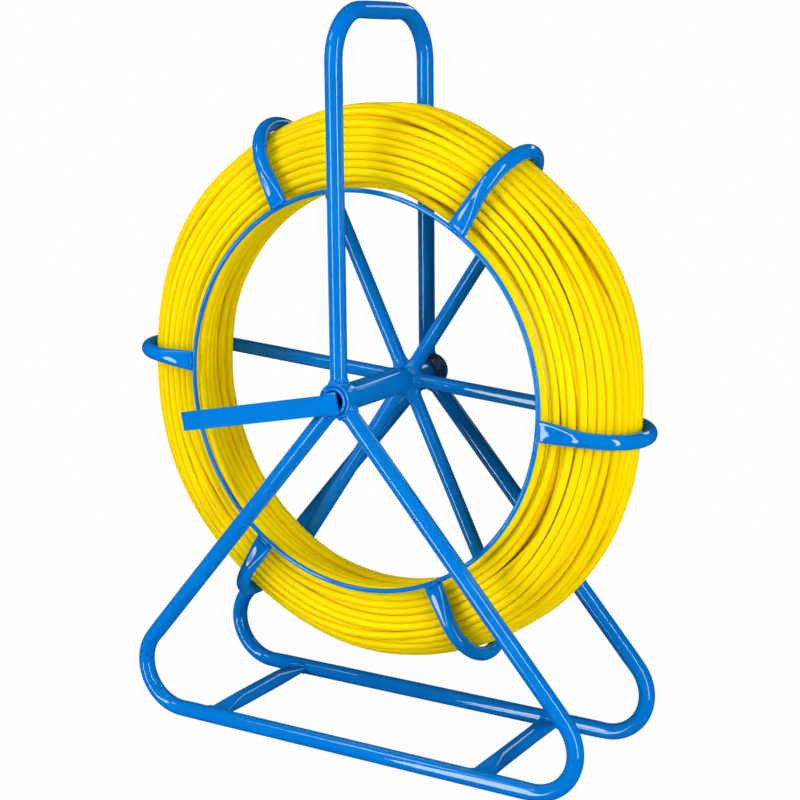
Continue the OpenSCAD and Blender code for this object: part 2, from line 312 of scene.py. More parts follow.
def set_on_axle(points, ring, direction, radius):
    """Slides a ring's points along direction onto the cylinder of this radius about the axle."""
    dx, _, dz = direction
    for i in ring:
        x, z = points[i, 0], points[i, 2] - AXLE_Z
        a = dx ** 2 + dz ** 2
        b = 2 * (x * dx + z * dz)
        disc = b * b - 4 * a * (x * x + z * z - radius * radius)
        if disc < 0:
            continue
        root = math.sqrt(disc)
        points[i] += direction * min((-b + root) / (2 * a), (-b - root) / (2 * a), key=abs)


# ------------------------------------------------------------------ node tools
def set_inputs(tree, target, inputs):
    """Sets a node's inputs by name or number. A socket is linked, anything else is a value."""
    for key, value in inputs.items():
        if isinstance(value, bpy.types.NodeSocket):
            tree.links.new(value, target.inputs[key])
        else:
            target.inputs[key].default_value = value


def add_node(tree, kind, inputs=None, **settings):
    made = tree.nodes.new(kind)
    for key, value in settings.items():
        setattr(made, key, value)
    set_inputs(tree, made, inputs or {})
    return made


def new_material(name):
    """Material, its node tree, its shader and the object coordinates."""
    material = bpy.data.materials.new(name)
    material.use_nodes = True
    tree = material.node_tree
    position = add_node(tree, "ShaderNodeTexCoord").outputs["Object"]
    return material, tree, tree.nodes["Principled BSDF"], position


def noise(tree, vector, **inputs):
    return add_node(tree, "ShaderNodeTexNoise", {"Vector": vector, **inputs}).outputs["Fac"]


def calculate(tree, operation, *values):
    return add_node(tree, "ShaderNodeMath", dict(enumerate(values)), operation=operation).outputs[0]


def map_range(tree, value, low, high, **source):
    inputs = {"Value": value, "To Min": low, "To Max": high}
    if source:
        inputs.update({"From Min": source["from_min"], "From Max": source["from_max"]})
    return add_node(tree, "ShaderNodeMapRange", inputs).outputs["Result"]


def bump(tree, height, strength, distance, normal=None):
    inputs = {"Height": height, "Strength": strength, "Distance": distance}
    if normal:
        inputs["Normal"] = normal
    return add_node(tree, "ShaderNodeBump", inputs).outputs["Normal"]


def ramp(tree, factor, stops):
    """Colour ramp with stops of (position, linear colour)."""
    made = add_node(tree, "ShaderNodeValToRGB", {"Fac": factor})
    elements = made.color_ramp.elements
    while len(elements) < len(stops):
        elements.new(0.5)
    for element, (position, colour) in zip(elements, stops):
        element.position = position
        element.color = (*colour, 1)
    return made.outputs["Color"]


# ------------------------------------------------------------------ materials
def blue_coat(name, painted_shade=0.0, lumps=0.0):
    """Gloss powder coat: faint orange peel, slow film thickness changes, clear hard reflection.

    painted_shade: share of the coat painted near-black as shadow and dark reflection. lumps:
    strength of the relief of weld metal under the coat.
    """
    material, tree, shader, position = new_material(name)
    film = noise(tree, position, Scale=34.0, Detail=3.0, Roughness=0.55)
    colour = ramp(tree, film, [(0.3, (0.0, 0.182, 0.645)), (0.7, (0.0, 0.205, 0.705))])
    if painted_shade:
        # painted shade: patches of the coat turn near-black to stand for shadow and dark reflection
        # on the weld
        specks = noise(tree, position, Scale=260.0, Detail=4.0, Roughness=0.65)
        shade_patches = ramp(tree, specks, [(0.30, (0, 0, 0)), (0.46, (1, 1, 1))])
        painted_shade_colour = ramp(tree, film, [(0.35, (0.004, 0.010, 0.028)), (0.65, (0.020, 0.028, 0.055))])
        # colour inputs of the mix node: 0 factor, 6 and 7 the two colours; output 2 the result
        inputs = {0: calculate(tree, "MULTIPLY", shade_patches, painted_shade), 6: colour, 7: painted_shade_colour}
        colour = add_node(tree, "ShaderNodeMix", inputs, data_type="RGBA").outputs[2]
    peel = noise(tree, position, Scale=760.0, Detail=1.5, Roughness=0.5)
    wave = noise(tree, position, Scale=150.0, Detail=1.0)
    normal = bump(tree, peel, strength=0.03, distance=0.0002)
    normal = bump(tree, wave, strength=0.035, distance=0.0006, normal=normal)
    if lumps:
        ripples = noise(tree, position, Scale=520.0, Detail=2.0, Roughness=0.6)
        normal = bump(tree, ripples, strength=lumps, distance=0.0016, normal=normal)
    set_inputs(tree, shader, {
        "Base Color": colour,
        "Normal": normal,
        "Coat Normal": normal,
        "Roughness": map_range(tree, film, low=0.30, high=0.42),
        "Specular IOR Level": 0.0,
        "Coat Weight": 1.0,
        "Coat Roughness": 0.03,
        "Coat IOR": 1.4,
    })
    return material


def rod_jacket():
    """Yellow jacket: each turn a shade apart, drawn lines along the rod, satin skin."""
    material, tree, shader, position = new_material("yellow_rod_jacket")
    split = add_node(tree, "ShaderNodeSeparateXYZ", {"Vector": position}).outputs
    # angle, radius and y about the axle
    x = split["X"]
    z = calculate(tree, "SUBTRACT", split["Z"], AXLE_Z * MM)
    angle = calculate(tree, "ARCTAN2", z, x)
    x_squared = calculate(tree, "MULTIPLY", x, x)
    radius = calculate(tree, "SQRT", calculate(tree, "MULTIPLY_ADD", z, z, x_squared))
    unrolled = add_node(tree, "ShaderNodeCombineXYZ",
                        {"X": angle, "Y": radius, "Z": split["Y"]}).outputs["Vector"]

    def stretched(along, across):
        scaled = add_node(tree, "ShaderNodeMapping",
                          {"Scale": (along, across, across), "Vector": unrolled})
        return noise(tree, scaled.outputs["Vector"], Scale=1.0, Detail=2.0)

    tone = stretched(along=0.5, across=120.0)
    grain = stretched(along=3.0, across=1400.0)
    shades = [(0.25, (0.95, 0.69, 0.0)), (0.5, (0.99, 0.745, 0.0)), (0.78, (1.0, 0.785, 0.001))]
    set_inputs(tree, shader, {
        "Base Color": ramp(tree, tone, shades),
        "Normal": bump(tree, grain, strength=0.05, distance=0.00012),
        "Roughness": map_range(tree, grain, low=0.36, high=0.52),
        "Specular IOR Level": 0.03,
    })
    return material


def ferrule_brass():
    """Brass with a slightly dulled, finely uneven skin."""
    material, tree, shader, position = new_material("ferrule_brass")
    tarnish = noise(tree, position, Scale=420.0, Detail=4.0)
    fine = noise(tree, position, Scale=2600.0, Detail=1.0)
    set_inputs(tree, shader, {
        "Base Color": ramp(tree, tarnish, [(0.3, (0.56, 0.35, 0.11)), (0.7, (0.74, 0.50, 0.19))]),
        "Roughness": map_range(tree, tarnish, low=0.22, high=0.40),
        "Normal": bump(tree, fine, strength=0.10, distance=0.0001),
        "Metallic": 1.0,
    })
    return material


BLUE = blue_coat("blue_powder_coat")
WELD = blue_coat("blue_coat_over_weld", lumps=0.55)
# rear collar and its welds: lumpy coat with near-black patches painted in as shadow and dark
# reflection
BLUE_WITH_PAINTED_SHADE = blue_coat("blue_coat_over_weld_painted_shade", painted_shade=0.9, lumps=0.9)
YELLOW = rod_jacket()
BRASS = ferrule_brass()


def place(ob, body, node=None, material=BLUE):
    ob.data.materials.append(material)
    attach(ob, body)
    if node:
        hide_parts(node)


# ------------------------------------------------------------------ stand tubes
def mirrored(half):
    """Path made of a left half, a straight middle and the mirrored right half."""
    right = half[::-1] * np.array([-1, 1])
    return np.concatenate([half, line(half[-1], right[0], 9.0)[1:-1], right])


def bend_oval(path, centre_x, centre_y, radius):
    """How far a tube is pressed out of round in its two mirrored bends."""
    def near(x):
        distance = np.linalg.norm(path - np.array([x, centre_y]), axis=1)
        return 0.045 * np.clip(1 - np.abs(distance - radius) / 1.2, 0, 1)
    return np.maximum(near(centre_x), near(-centre_x))


def stand_tube(name, node, path, oval, origin, first, normal):
    """Tube in the plane of first and Z, with both ends coped to a bearing collar."""
    sides = 44
    sections = circle(sides, TUBE_R, len(path))
    sections = sections * np.stack([1 - oval, 1 + 0.45 * oval], -1)[:, None, :]
    points, quads, tris = planar_tube(path, origin, first, Z_AXIS, normal, sections)
    ends = (path[0] - path[1], path[-1] - path[-2])
    for ring, (across, height) in zip(end_rings(points, sides), ends):
        direction = across * first + height * Z_AXIS
        direction /= np.linalg.norm(direction)
        set_on_axle(points, ring, direction, COLLAR_R + GAP)
    place(add_mesh(name, points, quads, tris), "stand", node)


TUBE_START = COLLAR_R - 1.0                 # tube paths start inside the collar


def side_frame(name, y, node):
    """Two legs and the bottom tube between their feet."""
    sin, cos = math.sin(LEG_ANGLE), math.cos(LEG_ANGLE)
    top = (-sin * TUBE_START, AXLE_Z - cos * TUBE_START)
    leg_end = (-sin * LEG_LENGTH, AXLE_Z - cos * LEG_LENGTH)
    bend_x, bend_z = -(CORNER_X - FOOT_TANGENT), TUBE_R + FOOT_R
    bend = arc(bend_x, bend_z, FOOT_R, 180 - math.degrees(LEG_ANGLE), 270)
    path = mirrored(np.concatenate([line(top, leg_end, 9.0), bend[1:]]))
    low = path[:, 1] < bend_z + FOOT_R * math.sin(math.pi / 2 - LEG_ANGLE)
    oval = bend_oval(path, bend_x, bend_z, FOOT_R) * low
    stand_tube(name, node, path, oval, np.array([0, y, 0]), X_AXIS, Y_AXIS)


def carry_handle():
    """Arch over the reel, in the plane x = 0."""
    bend_y, bend_z = -FRAME_Y + HANDLE_R, HANDLE_Z - HANDLE_R
    upright = line((-FRAME_Y, AXLE_Z + TUBE_START), (-FRAME_Y, bend_z), 9.0)
    bend = arc(bend_y, bend_z, HANDLE_R, 180, 90)
    path = mirrored(np.concatenate([upright, bend[1:]]))
    oval = bend_oval(path, bend_y, bend_z, HANDLE_R) * (path[:, 1] > bend_z)
    stand_tube("carry_handle_tube", "carry_handle", path, oval, np.zeros(3), Y_AXIS, X_AXIS)


def collar(name, y, node, material):
    half, bore = COLLAR_LENGTH / 2, HUB_R + 0.05
    profile = rounded([
        (bore, y - half + 1.2), (bore + 0.9, y - half), (COLLAR_R, y - half),
        (COLLAR_R, y + half), (bore + 0.9, y + half), (bore, y + half - 1.2),
    ], radius=0.5, steps=4)
    place(add_mesh(name, *revolve(profile)), "stand", node, material)


side_frame("front_frame_tube", -FRAME_Y, "front_side_frame")
side_frame("rear_frame_tube", FRAME_Y, "rear_side_frame")
carry_handle()
collar("front_bearing_sleeve", -FRAME_Y, "front_bearing_collar", BLUE)
# the rear collar gets the coat with painted shadow and dark reflection
collar("rear_bearing_sleeve", FRAME_Y, "rear_bearing_collar", BLUE_WITH_PAINTED_SHADE)


# ------------------------------------------------------------------ weld metal
def bead(centres, first, second, radius, rng, sides=12, ripple=0.10, pitch=2.1, wobble=0.25):
    """Weld bead: lumpy round cord along a line, with scale-like ripples a pitch apart."""
    count = len(centres)
    steps = np.linalg.norm(np.diff(centres, axis=0), axis=1)
    run = np.concatenate([[0], np.cumsum(steps)])
    total = steps.sum()
    waves = max(3, round(total / pitch))
    phase = run / total * waves
    saw = (phase + 0.18 * np.sin(TAU * phase)) % 1.0
    scale = 1 - ripple * (saw * 1.6 - 0.6) ** 2
    swell = smooth_noise(count, max(2, count / waves * 2.0), 0.07, rng)
    radii = radius * scale * (1 + swell)
    # rounded ends
    t = run / total
    end = np.clip(np.minimum(t, 1 - t) / 0.12, 0, 1)
    radii *= np.sqrt(np.clip(end * (2 - end), 0.04, 1))
    spacing = max(2, count / waves * 3)
    offset = np.stack([smooth_noise(count, spacing, wobble, rng) for _ in range(2)], -1)
    a = TAU * np.arange(sides) / sides
    sections = radii[:, None, None] * np.stack([np.cos(a), np.sin(a)], -1)[None]
    lump = 1 + 0.05 * np.sin(3 * a[None] + phase[:, None] * 5)
    sections = sections * lump[..., None] + offset[:, None, :]
    return sweep(centres, first, second, sections)


def fillet(shells, outward, around, y, rng, *, tube_r, bar_r, climb, spread, lumps, rough,
           inner_r, rows=14, half_width=None):
    """Weld fillet round a tube that leaves a round bar about the axle along outward.

    climb: how far it rises on the tube. spread: how far it reaches over the bar. lumps and
    rough: number and size of its scallops. inner_r: nothing lies nearer the axle.
    half_width: limit along the axle.
    """
    columns = 96
    a = TAU * np.arange(columns) / columns
    swell = 1 + smooth_noise(columns, 9, 0.10, rng, wrap=True)
    phase = rng.uniform(0, 6)
    scallop = (rough * np.sin(a * lumps + phase + 0.8 * np.sin(2 * a))
               + smooth_noise(columns, 4, rough * 0.9, rng, wrap=True))
    origin = axle_point(y)
    rings = []
    for q in np.linspace(0, 1, rows):
        height = bar_r - 0.6 + (climb * swell) * q
        width = (tube_r + 0.12 + (spread * swell) * (1 - q) ** 2.0
                 + scallop * math.sin(math.pi * min(1, q * 1.1)) * 2.0)
        u, v = width * np.cos(a), width * np.sin(a)
        if half_width is not None:
            if q < 0.98:
                v = half_width * np.tanh(v / half_width * 1.12)
            else:
                v = np.clip(v, -half_width, half_width)
            # never cut into the tube
            keep = np.maximum(1.0, (tube_r + 0.1) / np.maximum(np.hypot(u, v), 1e-6))
            u, v = u * keep, v * keep
        # follow the round of the bar
        sag = np.sqrt(np.maximum(bar_r ** 2 - np.minimum(np.abs(u), bar_r - 0.4) ** 2, 0)) - bar_r
        height = height + sag * (1 - q) ** 1.2
        rings.append(origin + height[:, None] * outward + u[:, None] * around
                     + v[:, None] * Y_AXIS)
    # close the shell inside the tube
    inside = (tube_r - 0.8) * (np.cos(a)[:, None] * around + np.sin(a)[:, None] * Y_AXIS)
    for height in (bar_r + climb - 0.8, bar_r - 0.7):
        rings.append(origin + height * outward + inside)
    points = np.concatenate(rings)
    radius = np.hypot(points[:, 0], points[:, 2] - AXLE_Z)
    low = radius < inner_r
    push = inner_r / np.maximum(radius[low], 1e-6)
    points[low, 0] *= push
    points[low, 2] = AXLE_Z + (points[low, 2] - AXLE_Z) * push
    shells.add(points, grid_faces(len(rings), columns, closed=True))


def droplet(centre, radius):
    """Small ball of weld metal."""
    columns, bands = 10, 7
    a = TAU * np.arange(columns) / columns
    rows = [np.array([[0, 0, -1.0]])]
    for k in range(1, bands):
        polar = math.pi * k / bands
        rows.append(np.stack([np.cos(a) * math.sin(polar), np.sin(a) * math.sin(polar),
                              np.full(columns, -math.cos(polar))], -1))
    rows.append(np.array([[0, 0, 1.0]]))
    points = np.concatenate(rows) * radius + centre
    last_row = 1 + (bands - 2) * columns
    tris = np.concatenate([fan(np.arange(1, columns + 1)[::-1], 0),
                           fan(np.arange(last_row, last_row + columns), len(points) - 1)])
    return points, grid_faces(bands - 1, columns) + 1, tris


def collar_welds(name, y, node, seed, material, rough, stitches):
    """Fillets where the handle and the two legs meet a collar, with stitches and droplets."""
    rng = np.random.default_rng(seed)
    shells = Shells()
    origin = axle_point(y)
    for tube_angle in (0.0, math.pi - LEG_ANGLE, math.pi + LEG_ANGLE):
        outward = np.array([math.sin(tube_angle), 0, math.cos(tube_angle)])
        around = np.cross(outward, Y_AXIS)
        fillet(shells, outward, around, y, rng, tube_r=TUBE_R, bar_r=COLLAR_R, climb=3.6,
               spread=2.9, lumps=13, rough=rough, inner_r=COLLAR_R - 1.0, half_width=8.1)
        # short stitches of bead over the fillet
        for _ in range(stitches):
            start = rng.uniform(0, TAU)
            span = rng.uniform(0.7, 1.5)
            t = np.linspace(start, start + span, 22)
            radius = TUBE_R + 1.0
            u, v = radius * np.cos(t), np.clip(radius * np.sin(t), -7.4, 7.4)
            height = np.sqrt(np.maximum(COLLAR_R ** 2 - u ** 2, 0)) + 0.9
            centres = origin + u[:, None] * around + v[:, None] * Y_AXIS
            centres = centres + height[:, None] * outward
            across = np.cos(t)[:, None] * around + np.sin(t)[:, None] * Y_AXIS
            shells.add(*bead(centres, across, outward, 1.45, rng, ripple=0.2, pitch=2.2,
                             wobble=0.3))
        for _ in range(12):
            t = rng.uniform(0, TAU)
            q = rng.uniform(0, 1)
            radius = TUBE_R + 0.3 + 2.3 * (1 - q) ** 2
            u = radius * math.cos(t)
            v = float(np.clip(radius * math.sin(t), -7.2, 7.2))
            height = math.sqrt(max(COLLAR_R ** 2 - u * u, 0)) + 3.2 * q + 0.3
            centre = origin + u * around + v * Y_AXIS + height * outward
            shells.add(*droplet(centre, rng.uniform(0.5, 0.95)))
    place(shells.build(name), "stand", node, material)


collar_welds("front_sleeve_weld_beads", -FRAME_Y, "front_collar_welds",
             seed=11, material=WELD, rough=0.16, stitches=2)
# the rear beads get the coat with painted shadow and dark reflection
collar_welds("rear_sleeve_weld_beads", FRAME_Y, "rear_collar_welds",
             seed=12, material=BLUE_WITH_PAINTED_SHADE, rough=0.30, stitches=4)


# ------------------------------------------------------------------ cross bars
def cross_bar(name, x, node):
    """Round tube whose ends are pressed flat and coped to the bottom tubes."""
    flat_y = CROSS_BAR_ROUND + CROSS_BAR_TAPER
    y = np.concatenate([
        np.linspace(-CROSS_BAR_END, -flat_y, 3),
        np.linspace(-flat_y, -CROSS_BAR_ROUND, 16)[1:],
        np.linspace(-CROSS_BAR_ROUND, CROSS_BAR_ROUND, 9)[1:-1],
        np.linspace(CROSS_BAR_ROUND, flat_y, 16),
        np.linspace(flat_y, CROSS_BAR_END, 3)[1:],
    ])
    sides = 52
    sections = []
    for station in y:
        squash = np.clip((abs(station) - CROSS_BAR_ROUND) / CROSS_BAR_TAPER, 0, 1)
        squash = ease(squash) * 0.35 + squash * 0.65
        dip = 1.7 * math.sin(math.pi * min(1, squash)) ** 1.2 * squash
        sections.append(squashed_circle(sides, TUBE_R, squash, stretch=1.0, dip=dip))
    centres = np.stack([np.full(len(y), x), y, np.full(len(y), TUBE_R)], -1)
    points, quads, tris = sweep(centres, Z_AXIS, X_AXIS, np.stack(sections))
    for ring, side in zip(end_rings(points, sides), (-1, 1)):
        height = points[ring, 2] - TUBE_R
        reach = np.sqrt(np.maximum(TUBE_R * TUBE_R - height * height, 0))
        points[ring, 1] = side * (FRAME_Y - reach - GAP)
    place(add_mesh(name, points, quads, tris), "stand", node)


def cross_bar_welds():
    """Beads above and below each flattened end."""
    rng = np.random.default_rng(21)
    shells = Shells()
    count = 40
    for x in CROSS_BAR_X:
        for side in (-1, 1):
            for level in (-1, 1):
                centres = np.stack([np.linspace(x - 8.6, x + 8.6, count),
                                    np.full(count, side * (FRAME_Y - TUBE_R + 0.2)),
                                    np.full(count, TUBE_R + level * 3.1)], -1)
                shells.add(*bead(centres, Y_AXIS, Z_AXIS, 2.0, rng, sides=14))
    place(shells.build("cross_tube_weld_beads"), "stand", "cross_bar_welds", WELD)


cross_bar("left_cross_tube", CROSS_BAR_X[0], "left_cross_bar")
cross_bar("right_cross_tube", CROSS_BAR_X[1], "right_cross_bar")
cross_bar_welds()


# ------------------------------------------------------------------ reel frame
def arm_section(x, y, sides):
    """Section of an arm at a point of its path. The front leg is gradually squashed."""
    squash = 0.0
    if y < BOW_Y:
        along = x if x <= BOW_X else BOW_X + BOW_R * math.atan2(x - BOW_X, BOW_Y - y)
        squash_start, squash_end = ARM_SQUASH
        squash = np.clip((squash_start - along) / (squash_start - squash_end), 0, 1)
        squash = ease(squash) * 0.5 + squash * 0.5
    dip = 0.75 * math.sin(math.pi * min(1, squash)) * squash
    section = squashed_circle(sides, ARM_R, squash, stretch=1.06, dip=dip)
    # the bend pulls slightly out of round
    off_bend = abs(np.hypot(x - BOW_X, y - BOW_Y) - BOW_R)
    oval = 0.05 * max(0.0, 1 - off_bend / 1.2) * (x > BOW_X) * (1 - squash)
    return section * np.array([1 - oval, 1 + 0.4 * oval])


def spoke_arm(number, outward, around):
    """Arm from the hub outwards at the back, round the bow and back in to the front ring."""
    sides = 52
    ring_x = RING_R + WIRE_R + GAP
    path = np.concatenate([
        line((HUB_R - 1.0, SPOKE_Y), (BOW_X, SPOKE_Y), 9.0),
        arc(BOW_X, BOW_Y, BOW_R, 90, -90)[1:],
        line((BOW_X, FRONT_Y), (ARM_TIP_X, FRONT_Y), 1.6)[1:],
        line((ARM_TIP_X, FRONT_Y), (ring_x, FRONT_Y), 1.6)[1:],
    ])
    sections = np.stack([arm_section(x, y, sides) for x, y in path])
    points, quads, tris = planar_tube(path, axle_point(0), outward, Y_AXIS, around, sections)
    root, tip = end_rings(points, sides)
    set_on_axle(points, root, -outward, HUB_R + GAP)
    set_on_axle(points, tip, -outward, ring_x)
    place(add_mesh(f"reel_arm_{number}", points, quads, tris), "reel", f"spoke_arm_{number}")


def wire_ring():
    count = 360
    a = TAU * np.arange(count) / count
    outward = np.stack([np.cos(a), np.zeros(count), np.sin(a)], -1)
    centres = axle_point(FRONT_Y) + RING_R * outward
    skin = sweep(centres, outward, Y_AXIS, circle(16, WIRE_R, count), closed=True)
    place(add_mesh("front_wire_ring", *skin), "reel", "front_retaining_ring")


def hub_tube():
    bore = HUB_R - HUB_WALL
    profile = rounded([(bore, -HUB_HALF), (HUB_R, -HUB_HALF), (HUB_R, HUB_HALF), (bore, HUB_HALF)],
                      radius=0.4, steps=3)
    # extra stations on the outside, between the front and back corners
    outside = np.stack([np.full(15, HUB_R), np.linspace(-70, 70, 15)], -1)
    profile = np.concatenate([profile[:8], outside, profile[8:]])
    place(add_mesh("hub_axle_tube", *revolve(profile)), "reel", "hub_tube")


def spoke_root_welds():
    """Fillets where the spokes crowd onto the hub tube."""
    rng = np.random.default_rng(41)
    shells = Shells()
    for outward, around in ARM_AXES:
        fillet(shells, outward, around, SPOKE_Y, rng, tube_r=ARM_R, bar_r=HUB_R, climb=7.4,
               spread=3.4, lumps=9, rough=0.10, inner_r=WELD_RIM_R, rows=16)
    place(shells.build("spoke_root_weld_fillets"), "reel", "spoke_root_welds", WELD)


def ring_welds():
    """Beads in front of and behind the wire ring at each arm tip."""
    rng = np.random.default_rng(51)
    shells = Shells()
    radius = RING_R + 1.7
    for outward, around in ARM_AXES:
        for side in (-1, 1):
            half = rng.uniform(4.6, 6.6)
            middle = rng.uniform(-1.6, 1.6)
            a = np.linspace(middle - half, middle + half, 30) / radius
            across = np.cos(a)[:, None] * outward + np.sin(a)[:, None] * around
            centres = axle_point(FRONT_Y + side * 2.25) + radius * across
            shells.add(*bead(centres, across, Y_AXIS, 1.75, rng, ripple=0.16, pitch=2.6,
                             wobble=0.2))
    place(shells.build("ring_weld_beads"), "reel", "ring_welds", WELD)


for number, (outward, around) in enumerate(ARM_AXES, 1):
    spoke_arm(number, outward, around)
wire_ring()
hub_tube()
spoke_root_welds()
ring_welds()


# ------------------------------------------------------------------ crank and stop disc
CRANK_ALONG = np.array([-math.cos(CRANK_ANGLE), 0, -math.sin(CRANK_ANGLE)])
CRANK_UP = np.cross(Y_AXIS, CRANK_ALONG)


def crank_bar():
    """Flat bar across the front end of the hub, with rounded edges."""
    bm = bmesh.new()
    half, front, back = CRANK_WIDTH / 2, -CRANK_THICKNESS - GAP, -GAP
    corners = ((front, -half), (back, -half), (back, half), (front, half))
    stations = np.linspace(CRANK_START, CRANK_END, 24)
    verts = []
    for x in stations:
        for y, z in corners:
            point = (axle_point(-HUB_HALF) + x * CRANK_ALONG + y * Y_AXIS
                     + (z - CRANK_DROP) * CRANK_UP)
            verts.append(bm.verts.new(point * MM))
    for k in range(0, len(verts) - 4, 4):
        for j in range(4):
            j_next = (j + 1) % 4
            bm.faces.new((verts[k + j], verts[k + j_next],
                          verts[k + 4 + j_next], verts[k + 4 + j]))
    bm.faces.new(verts[0:4][::-1])
    bm.faces.new(verts[-4:])
    bmesh.ops.recalc_face_normals(bm, faces=bm.faces)
    edges = [e for e in bm.edges if len(e.link_faces) == 2 and e.calc_face_angle(0) > 0.5]
    bmesh.ops.bevel(bm, geom=edges, offset=0.45 * MM, segments=3, profile=0.5, affect="EDGES")
    mesh = bpy.data.meshes.new("crank_flat_bar")
    bm.to_mesh(mesh)
    bm.free()
    # only the narrow strips of the rounded edges are shaded smooth
    for face in mesh.polygons:
        face.use_smooth = face.area < 5e-6
    ob = bpy.data.objects.new("crank_flat_bar", mesh)
    bpy.context.scene.collection.objects.link(ob)
    place(ob, "reel", "crank_bar")


def crank_welds():
    """Beads on the rim of the hub tube, below and above the bar."""
    rng = np.random.default_rng(61)
    shells = Shells()
    # start and stop along the bar, height across it
    for start, stop, height in ((-3.4, 3.4, -WELD_RIM_R),
                                (-5.0, 7.0, CRANK_WIDTH / 2 + 0.4 - CRANK_DROP)):
        x = np.linspace(start, stop, 26)
        x = x * (WELD_RIM_R / np.maximum(np.hypot(x, height), WELD_RIM_R))
        centres = axle_point(-HUB_HALF - 0.9) + x[:, None] * CRANK_ALONG + height * CRANK_UP
        shells.add(*bead(centres, CRANK_UP, Y_AXIS, 1.25, rng, pitch=1.8, wobble=0.12))
    place(shells.build("crank_weld_beads"), "reel", "crank_welds", WELD)


def stop_disc():
    """Closed disc on the back end of the hub tube, edges broken."""
    # radius, distance behind the hub end
    profile = [(3.0, 0.02), (9.0, 0.02), (13.5, 0.02), (13.85, 0.17), (14.0, 0.52),
               (14.0, 2.52), (13.85, 2.87), (13.5, 3.02), (9.0, 3.02), (3.0, 3.02)]
    columns = 96
    a = TAU * np.arange(columns) / columns
    rings = [np.stack([radius * np.cos(a), np.full(columns, HUB_HALF + y),
                       AXLE_Z + radius * np.sin(a)], -1) for radius, y in profile]
    centres = [[axle_point(HUB_HALF + profile[i][1])] for i in (0, -1)]
    skin = np.concatenate(rings + centres), *capped_faces(len(profile), columns)
    place(add_mesh("rear_stop_plate", *skin), "reel", "rear_stop_disc")


crank_bar()
crank_welds()
stop_disc()


# ------------------------------------------------------------------ rod winding
def inner_bound(y):
    """Smallest radius of the rod's centre line at y: the bore opens towards the back."""
    return 165.25 + 0.112 * (y + 38) + 1.2 * np.maximum(0, y - 12) ** 2 / 20


def sample_at(degrees):
    return int(round(math.radians(degrees) / TAU * SAMPLES))


def hann(width):
    kernel = np.hanning(width + 2)[1:-1]
    return kernel / kernel.sum()


def smooth(values, kernel):
    pad = len(kernel)
    return np.convolve(np.pad(values, (pad, pad), mode="edge"), kernel, "same")[pad:-pad]


def plan_layers(rng):
    """Layers of [radius, y of each turn from the bow centre], filling the channel outwards."""
    radial_pitch, axial_pitch = ROD_D * 0.856, ROD_D * 1.006
    layers = [[FIRST_LAYER_R, list(FIRST_LAYER_Y)]]
    radius = FIRST_LAYER_R + radial_pitch
    limit = PACK_HALF + 1.2 - ROD_R
    while True:
        into_bow = max(0.0, radius - BOW_X)
        if into_bow > limit - 0.3:
            break
        half = math.sqrt(limit * limit - into_bow * into_bow)
        odd = len(layers) % 2 == 1
        turns = int(math.floor(2 * half / axial_pitch)) + 1
        if odd and (turns - 1) * axial_pitch + axial_pitch / 2 > 2 * half:
            turns -= 1
        if turns == 0:
            break
        ys = (np.arange(turns) - (turns - 1) / 2) * axial_pitch
        layers.append([radius, list(-ys if odd else ys)])
        radius += radial_pitch
    # drop turns to leave room: hand winding is never a perfect lattice
    total = sum(len(ys) for _, ys in layers)
    for i in range(401):
        if total <= PACK_TURNS:
            break
        ys = layers[1 + (i * 5 + 2) % (len(layers) - 1)][1]
        if len(ys) > (6 if i < 200 else 4):
            ys.pop(int(rng.integers(1, len(ys) - 1)))
            total -= 1
    return layers


def string_turns(layers, start, rng):
    """Radius, y and layer number at each sample of the rod."""
    stations = []
    current = start
    for number, (radius, ys) in enumerate(layers):
        step_over = int(rng.integers(0, SAMPLES))
        for turn, y in enumerate(ys):
            count = SAMPLES
            if turn == 0:
                count = (step_over - current) % SAMPLES
                if count < SAMPLES * 0.25:
                    count += SAMPLES
            stations += [(radius, y, number)] * count
            current += count
    # the last turn stops just past the arm it comes out behind
    stations += [stations[-1]] * ((sample_at(57.5) - current) % SAMPLES)
    return np.array(stations, float).T


def loosen(radius, y, first_outer, rng):
    """Steps between turns are smoothed, turns wander, some outer ones lie on top of others."""
    length = len(radius)
    kernel = hann(int(SAMPLES * 0.16))
    radius, y = smooth(radius, kernel), smooth(y, kernel)

    def wander(amplitude):
        spacing = SAMPLES * 0.30
        knots = int(length / spacing) + 4
        values = np.interp(np.arange(length), np.arange(knots) * spacing,
                           rng.normal(0, amplitude, knots))
        return smooth(values, hann(int(spacing) + 1))

    y += wander(2.6)
    radius += wander(1.0)
    for _ in range(16):
        centre = int(rng.integers(first_outer + SAMPLES, length - 2 * SAMPLES))
        reach = int(SAMPLES * rng.uniform(0.35, 0.9))
        shift = rng.uniform(7, 19) * rng.choice([-1, 1])
        hump = 0.5 + 0.5 * np.cos(np.pi * (np.arange(-reach, reach + 1) / reach))
        y[centre - reach:centre + reach + 1] += shift * hump
        radius[centre - reach:centre + reach + 1] += 9 * np.sqrt(hump)
    return radius, y


def nearby_pairs(path, table):
    """Samples at the same angle that lie close together. table: samples by angle, -1 if none."""
    present = table >= 0
    nowhere = 1e6 + np.arange(table.shape[1])[None, :, None] * 1e3
    spots = np.where(present[..., None], path[np.where(present, table, 0)], nowhere)
    first, second = np.triu_indices(table.shape[1], 1)
    dx = spots[:, first, 0] - spots[:, second, 0]
    dy = spots[:, first, 1] - spots[:, second, 1]
    row, pair = np.nonzero(dx * dx + dy * dy < (ROD_D * 1.7) ** 2)
    return table[row, first[pair]], table[row, second[pair]]


